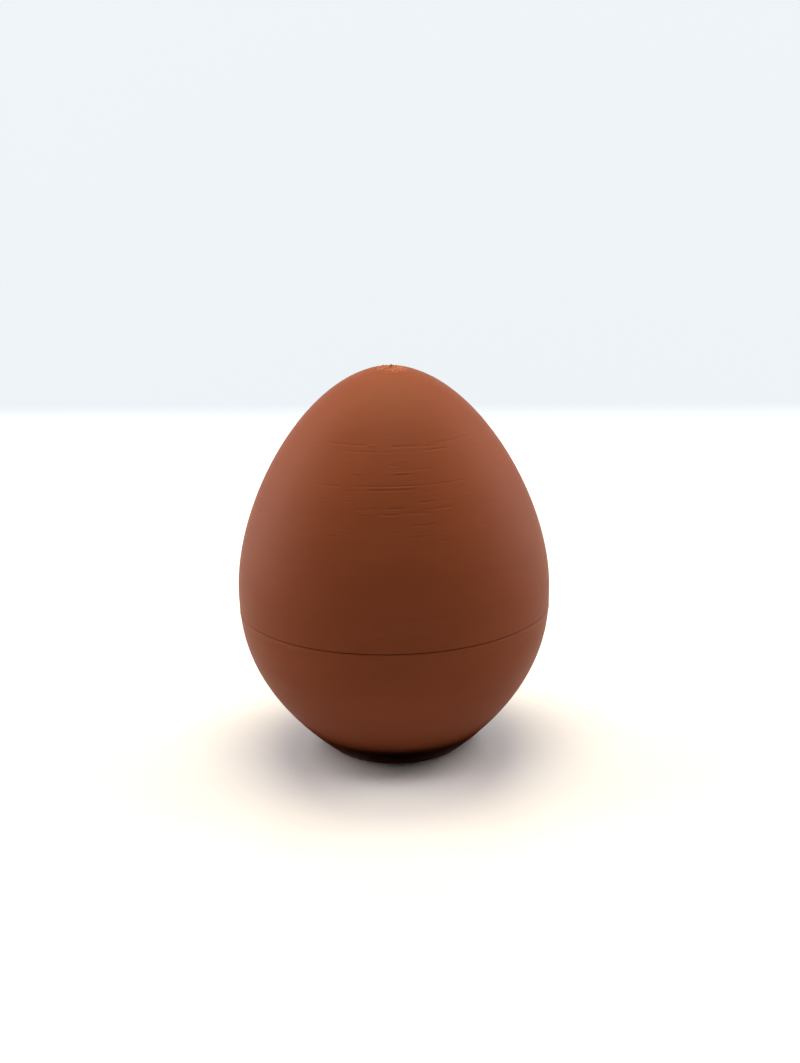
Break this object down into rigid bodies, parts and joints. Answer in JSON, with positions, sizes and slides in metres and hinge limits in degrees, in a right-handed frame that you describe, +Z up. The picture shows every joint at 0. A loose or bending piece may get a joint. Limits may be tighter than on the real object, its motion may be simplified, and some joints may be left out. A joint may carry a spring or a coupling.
{
  "type": "plastic chocolate egg",
  "caption": "Closed egg-shaped container in chocolate-brown printed plastic: a deep lid meets a shallower cup at a fine joint below the waist, and a flat base stands it upright.",
  "frame": {"origin": "centre of the flat base, on the surface that the egg stands on", "axes": "+Z up through the pointed end; the egg is round about Z, and -Y faces the camera of the picture"},
  "size_m": [0.058, 0.058, 0.0725],
  "materials": {
    "brown_plastic": "satin chocolate-brown plastic, printed in fine horizontal layers"
  },
  "bodies": {
    "root": {"egg_cup": "brown_plastic", "egg_lid": "brown_plastic"}
  },
  "joints": []
}
